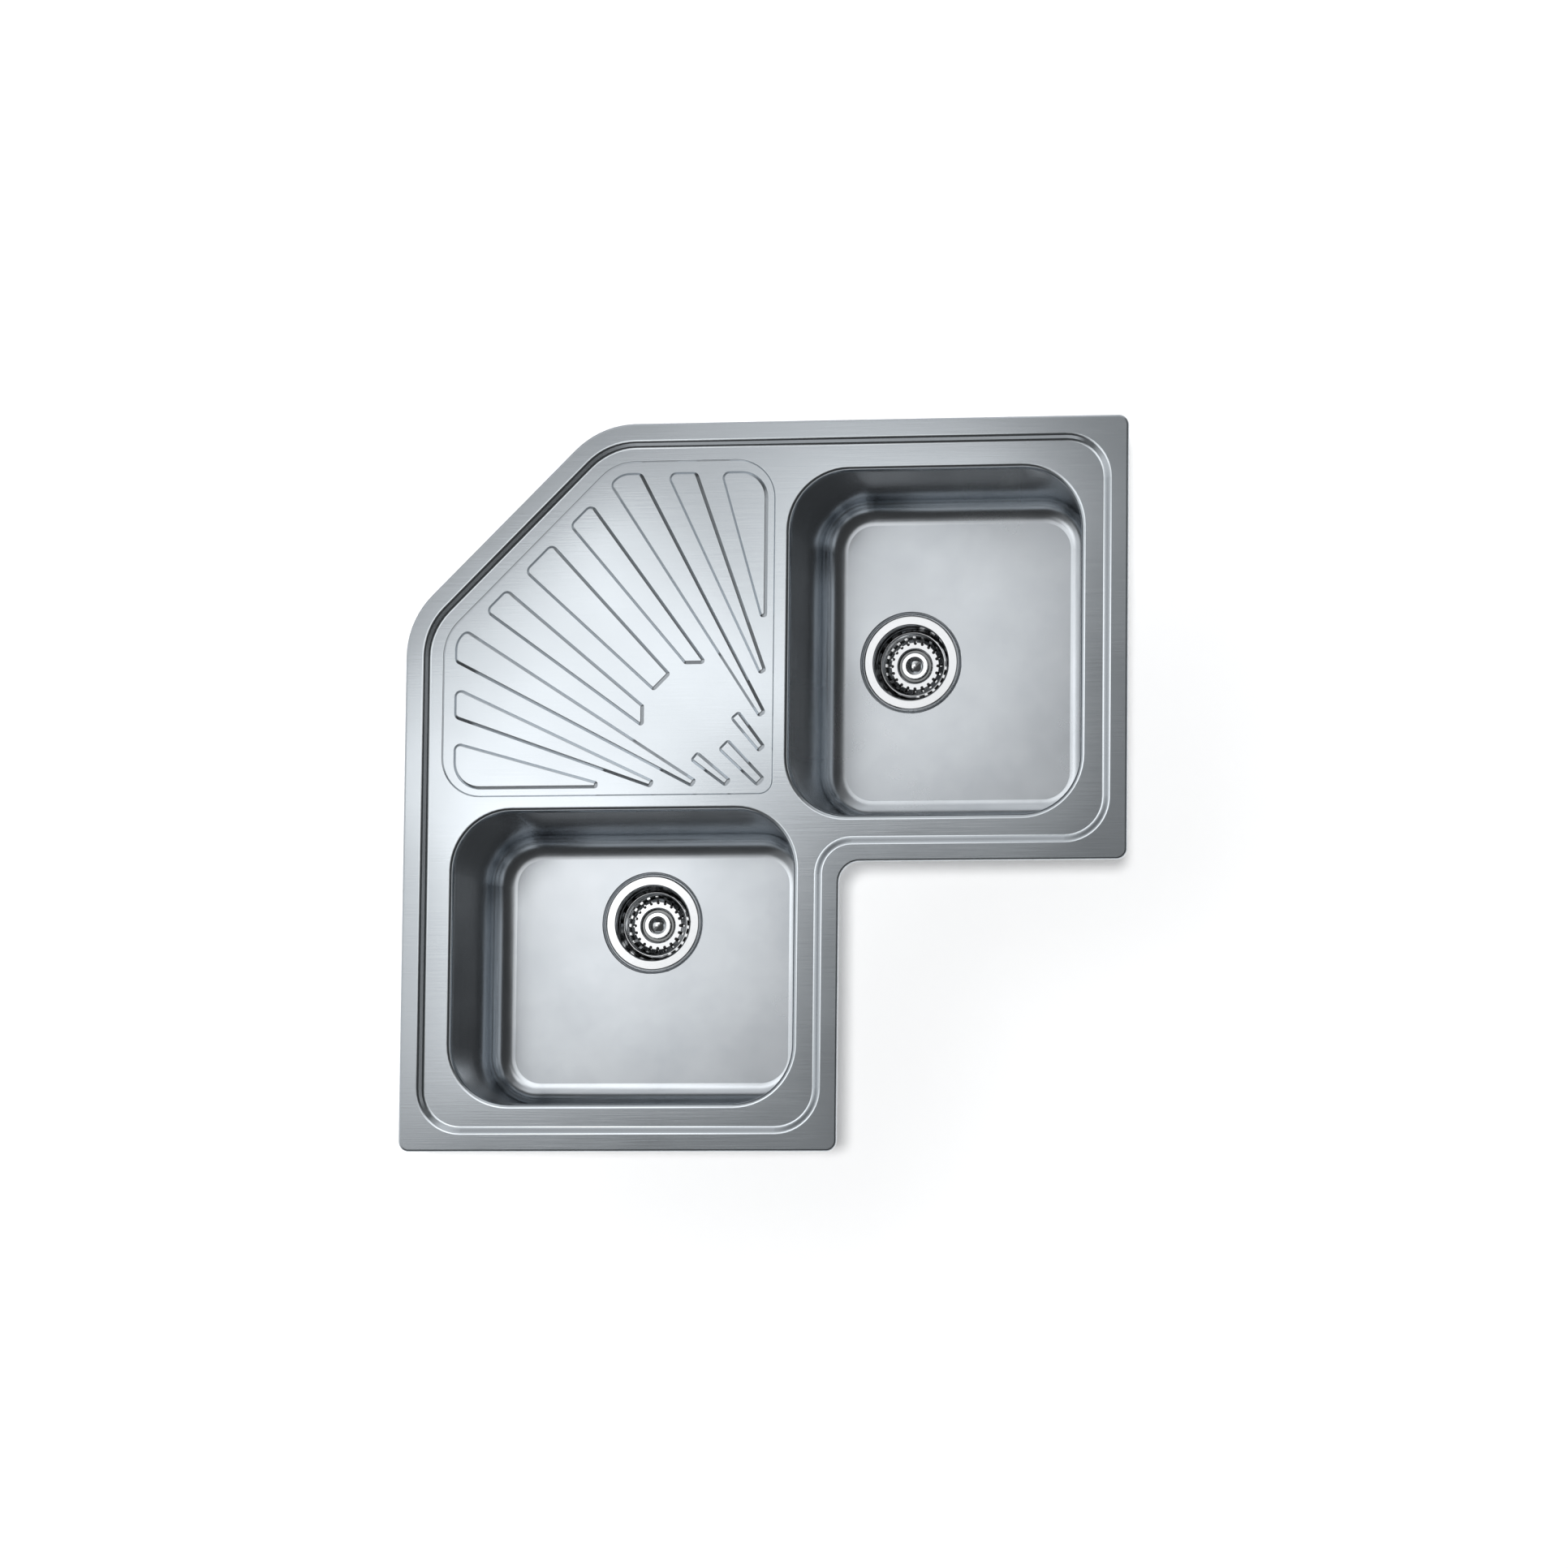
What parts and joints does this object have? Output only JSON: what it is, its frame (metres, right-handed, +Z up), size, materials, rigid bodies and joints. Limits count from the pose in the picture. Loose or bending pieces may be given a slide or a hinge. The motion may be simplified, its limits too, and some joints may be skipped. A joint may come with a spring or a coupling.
{
  "type": "corner kitchen sink",
  "caption": "L-shaped inset corner sink in brushed steel: a deep bowl on each arm, ribbed drainer in the corner between them, lift-out basket strainers and worktop fixing clips underneath.",
  "frame": {"origin": "centre of the square that encloses the outline seen from above, at the level of the worktop that the rim rests on", "axes": "+Z up; the wall corner with its 45 degree cut lies towards -X +Y, so the walls are on the -X and +Y sides, and the user stands in the notch towards +X -Y"},
  "size_m": [0.83, 0.83, 0.279],
  "materials": {
    "deck": "satin-brushed stainless steel, pressed from one sheet",
    "rim_seal": "black sealing strip",
    "clip_brackets": "plain stainless steel, welded",
    "left_bowl": "satin-brushed deep-drawn stainless steel",
    "left_sound_pad": "dark bitumen rubber, matt",
    "left_waste_strainer_cup": "polished stainless steel",
    "left_waste_flange_seal": "black rubber",
    "left_waste_body_seal": "black rubber",
    "left_waste_body": "white moulded polypropylene",
    "left_waste_brass_insert": "turned brass",
    "left_waste_clamp_screw": "turned stainless steel",
    "right_bowl": "satin-brushed deep-drawn stainless steel",
    "right_sound_pad": "dark bitumen rubber, matt",
    "right_waste_strainer_cup": "polished stainless steel",
    "right_waste_flange_seal": "black rubber",
    "right_waste_body_seal": "black rubber",
    "right_waste_body": "white moulded polypropylene",
    "right_waste_brass_insert": "turned brass",
    "right_waste_clamp_screw": "turned stainless steel",
    "left_basket": "polished stainless steel",
    "left_basket_seal": "black rubber",
    "left_basket_stem": "turned stainless steel",
    "left_basket_knob": "bright chrome plate",
    "right_basket": "polished stainless steel",
    "right_basket_seal": "black rubber",
    "right_basket_stem": "turned stainless steel",
    "right_basket_knob": "bright chrome plate",
    "clip_washer_1": "zinc-plated steel",
    "clip_screw_1": "zinc-plated steel",
    "clip_claw_1": "zinc-plated steel",
    "clip_washer_2": "zinc-plated steel",
    "clip_screw_2": "zinc-plated steel",
    "clip_claw_2": "zinc-plated steel",
    "clip_washer_3": "zinc-plated steel",
    "clip_screw_3": "zinc-plated steel",
    "clip_claw_3": "zinc-plated steel",
    "clip_washer_4": "zinc-plated steel",
    "clip_screw_4": "zinc-plated steel",
    "clip_claw_4": "zinc-plated steel",
    "clip_washer_5": "zinc-plated steel",
    "clip_screw_5": "zinc-plated steel",
    "clip_claw_5": "zinc-plated steel",
    "clip_washer_6": "zinc-plated steel",
    "clip_screw_6": "zinc-plated steel",
    "clip_claw_6": "zinc-plated steel",
    "clip_washer_7": "zinc-plated steel",
    "clip_screw_7": "zinc-plated steel",
    "clip_claw_7": "zinc-plated steel",
    "clip_washer_8": "zinc-plated steel",
    "clip_screw_8": "zinc-plated steel",
    "clip_claw_8": "zinc-plated steel",
    "clip_washer_9": "zinc-plated steel",
    "clip_screw_9": "zinc-plated steel",
    "clip_claw_9": "zinc-plated steel"
  },
  "bodies": {
    "sink": {"deck": "deck", "rim_seal": "rim_seal", "clip_brackets": "clip_brackets", "left_bowl": "left_bowl", "left_sound_pad": "left_sound_pad", "left_waste_strainer_cup": "left_waste_strainer_cup", "left_waste_flange_seal": "left_waste_flange_seal", "left_waste_body_seal": "left_waste_body_seal", "left_waste_body": "left_waste_body", "left_waste_brass_insert": "left_waste_brass_insert", "left_waste_clamp_screw": "left_waste_clamp_screw", "right_bowl": "right_bowl", "right_sound_pad": "right_sound_pad", "right_waste_strainer_cup": "right_waste_strainer_cup", "right_waste_flange_seal": "right_waste_flange_seal", "right_waste_body_seal": "right_waste_body_seal", "right_waste_body": "right_waste_body", "right_waste_brass_insert": "right_waste_brass_insert", "right_waste_clamp_screw": "right_waste_clamp_screw"},
    "left_basket_body": {"left_basket": "left_basket", "left_basket_seal": "left_basket_seal", "left_basket_stem": "left_basket_stem", "left_basket_knob": "left_basket_knob"},
    "right_basket_body": {"right_basket": "right_basket", "right_basket_seal": "right_basket_seal", "right_basket_stem": "right_basket_stem", "right_basket_knob": "right_basket_knob"},
    "clip_1_washer": {"clip_washer_1": "clip_washer_1"},
    "clip_1_screw": {"clip_screw_1": "clip_screw_1"},
    "clip_1_claw": {"clip_claw_1": "clip_claw_1"},
    "clip_2_washer": {"clip_washer_2": "clip_washer_2"},
    "clip_2_screw": {"clip_screw_2": "clip_screw_2"},
    "clip_2_claw": {"clip_claw_2": "clip_claw_2"},
    "clip_3_washer": {"clip_washer_3": "clip_washer_3"},
    "clip_3_screw": {"clip_screw_3": "clip_screw_3"},
    "clip_3_claw": {"clip_claw_3": "clip_claw_3"},
    "clip_4_washer": {"clip_washer_4": "clip_washer_4"},
    "clip_4_screw": {"clip_screw_4": "clip_screw_4"},
    "clip_4_claw": {"clip_claw_4": "clip_claw_4"},
    "clip_5_washer": {"clip_washer_5": "clip_washer_5"},
    "clip_5_screw": {"clip_screw_5": "clip_screw_5"},
    "clip_5_claw": {"clip_claw_5": "clip_claw_5"},
    "clip_6_washer": {"clip_washer_6": "clip_washer_6"},
    "clip_6_screw": {"clip_screw_6": "clip_screw_6"},
    "clip_6_claw": {"clip_claw_6": "clip_claw_6"},
    "clip_7_washer": {"clip_washer_7": "clip_washer_7"},
    "clip_7_screw": {"clip_screw_7": "clip_screw_7"},
    "clip_7_claw": {"clip_claw_7": "clip_claw_7"},
    "clip_8_washer": {"clip_washer_8": "clip_washer_8"},
    "clip_8_screw": {"clip_screw_8": "clip_screw_8"},
    "clip_8_claw": {"clip_claw_8": "clip_claw_8"},
    "clip_9_washer": {"clip_washer_9": "clip_washer_9"},
    "clip_9_screw": {"clip_screw_9": "clip_screw_9"},
    "clip_9_claw": {"clip_claw_9": "clip_claw_9"}
  },
  "joints": [
    {"name": "left_basket_lift", "type": "slide", "parent": "sink", "child": "left_basket_body", "axis": [0, 0, 1], "range_m": [0, 0.24]},
    {"name": "right_basket_lift", "type": "slide", "parent": "sink", "child": "right_basket_body", "axis": [0, 0, 1], "range_m": [0, 0.24]},
    {"name": "clip_1_travel", "type": "slide", "parent": "sink", "child": "clip_1_washer", "axis": [0, 0, 1], "range_m": [0, 0.012]},
    {"name": "clip_1_turn", "type": "hinge", "parent": "clip_1_washer", "child": "clip_1_screw", "pos_m": [-0.04025, 0.3792, -0.04], "axis": [0, 0, 1], "range_deg": [0, 5400]},
    {"name": "clip_1_swing", "type": "hinge", "parent": "clip_1_washer", "child": "clip_1_claw", "pos_m": [-0.04025, 0.3792, -0.058], "axis": [0, 0, 1], "range_deg": [-180, 0]},
    {"name": "clip_2_travel", "type": "slide", "parent": "sink", "child": "clip_2_washer", "axis": [0, 0, 1], "range_m": [0, 0.012]},
    {"name": "clip_2_turn", "type": "hinge", "parent": "clip_2_washer", "child": "clip_2_screw", "pos_m": [0.26325, 0.3792, -0.04], "axis": [0, 0, 1], "range_deg": [0, 5400]},
    {"name": "clip_2_swing", "type": "hinge", "parent": "clip_2_washer", "child": "clip_2_claw", "pos_m": [0.26325, 0.3792, -0.058], "axis": [0, 0, 1], "range_deg": [-180, 0]},
    {"name": "clip_3_travel", "type": "slide", "parent": "sink", "child": "clip_3_washer", "axis": [0, 0, 1], "range_m": [0, 0.012]},
    {"name": "clip_3_turn", "type": "hinge", "parent": "clip_3_washer", "child": "clip_3_screw", "pos_m": [0.3792, 0.16325, -0.04], "axis": [0, 0, 1], "range_deg": [0, 5400]},
    {"name": "clip_3_swing", "type": "hinge", "parent": "clip_3_washer", "child": "clip_3_claw", "pos_m": [0.3792, 0.16325, -0.058], "axis": [0, 0, 1], "range_deg": [-180, 0]},
    {"name": "clip_4_travel", "type": "slide", "parent": "sink", "child": "clip_4_washer", "axis": [0, 0, 1], "range_m": [0, 0.012]},
    {"name": "clip_4_turn", "type": "hinge", "parent": "clip_4_washer", "child": "clip_4_screw", "pos_m": [0.25175, -0.0527, -0.04], "axis": [0, 0, 1], "range_deg": [0, 5400]},
    {"name": "clip_4_swing", "type": "hinge", "parent": "clip_4_washer", "child": "clip_4_claw", "pos_m": [0.25175, -0.0527, -0.058], "axis": [0, 0, 1], "range_deg": [-180, 0]},
    {"name": "clip_5_travel", "type": "slide", "parent": "sink", "child": "clip_5_washer", "axis": [0, 0, 1], "range_m": [0, 0.012]},
    {"name": "clip_5_turn", "type": "hinge", "parent": "clip_5_washer", "child": "clip_5_screw", "pos_m": [0.0527, -0.25175, -0.04], "axis": [0, 0, 1], "range_deg": [0, 5400]},
    {"name": "clip_5_swing", "type": "hinge", "parent": "clip_5_washer", "child": "clip_5_claw", "pos_m": [0.0527, -0.25175, -0.058], "axis": [0, 0, 1], "range_deg": [-180, 0]},
    {"name": "clip_6_travel", "type": "slide", "parent": "sink", "child": "clip_6_washer", "axis": [0, 0, 1], "range_m": [0, 0.012]},
    {"name": "clip_6_turn", "type": "hinge", "parent": "clip_6_washer", "child": "clip_6_screw", "pos_m": [-0.16325, -0.3792, -0.04], "axis": [0, 0, 1], "range_deg": [0, 5400]},
    {"name": "clip_6_swing", "type": "hinge", "parent": "clip_6_washer", "child": "clip_6_claw", "pos_m": [-0.16325, -0.3792, -0.058], "axis": [0, 0, 1], "range_deg": [-180, 0]},
    {"name": "clip_7_travel", "type": "slide", "parent": "sink", "child": "clip_7_washer", "axis": [0, 0, 1], "range_m": [0, 0.012]},
    {"name": "clip_7_turn", "type": "hinge", "parent": "clip_7_washer", "child": "clip_7_screw", "pos_m": [-0.3792, -0.26325, -0.04], "axis": [0, 0, 1], "range_deg": [0, 5400]},
    {"name": "clip_7_swing", "type": "hinge", "parent": "clip_7_washer", "child": "clip_7_claw", "pos_m": [-0.3792, -0.26325, -0.058], "axis": [0, 0, 1], "range_deg": [-180, 0]},
    {"name": "clip_8_travel", "type": "slide", "parent": "sink", "child": "clip_8_washer", "axis": [0, 0, 1], "range_m": [0, 0.012]},
    {"name": "clip_8_turn", "type": "hinge", "parent": "clip_8_washer", "child": "clip_8_screw", "pos_m": [-0.3792, 0.04025, -0.04], "axis": [0, 0, 1], "range_deg": [0, 5400]},
    {"name": "clip_8_swing", "type": "hinge", "parent": "clip_8_washer", "child": "clip_8_claw", "pos_m": [-0.3792, 0.04025, -0.058], "axis": [0, 0, 1], "range_deg": [-180, 0]},
    {"name": "clip_9_travel", "type": "slide", "parent": "sink", "child": "clip_9_washer", "axis": [0, 0, 1], "range_m": [0, 0.012]},
    {"name": "clip_9_turn", "type": "hinge", "parent": "clip_9_washer", "child": "clip_9_screw", "pos_m": [-0.27819, 0.27819, -0.04], "axis": [0, 0, 1], "range_deg": [0, 5400]},
    {"name": "clip_9_swing", "type": "hinge", "parent": "clip_9_washer", "child": "clip_9_claw", "pos_m": [-0.27819, 0.27819, -0.058], "axis": [0, 0, 1], "range_deg": [-180, 0]}
  ],
  "couplings": [
    {"joint": "clip_1_turn", "follows": "clip_1_travel", "rad_per_m": 7854},
    {"joint": "clip_2_turn", "follows": "clip_2_travel", "rad_per_m": 7854},
    {"joint": "clip_3_turn", "follows": "clip_3_travel", "rad_per_m": 7854},
    {"joint": "clip_4_turn", "follows": "clip_4_travel", "rad_per_m": 7854},
    {"joint": "clip_5_turn", "follows": "clip_5_travel", "rad_per_m": 7854},
    {"joint": "clip_6_turn", "follows": "clip_6_travel", "rad_per_m": 7854},
    {"joint": "clip_7_turn", "follows": "clip_7_travel", "rad_per_m": 7854},
    {"joint": "clip_8_turn", "follows": "clip_8_travel", "rad_per_m": 7854},
    {"joint": "clip_9_turn", "follows": "clip_9_travel", "rad_per_m": 7854}
  ]
}
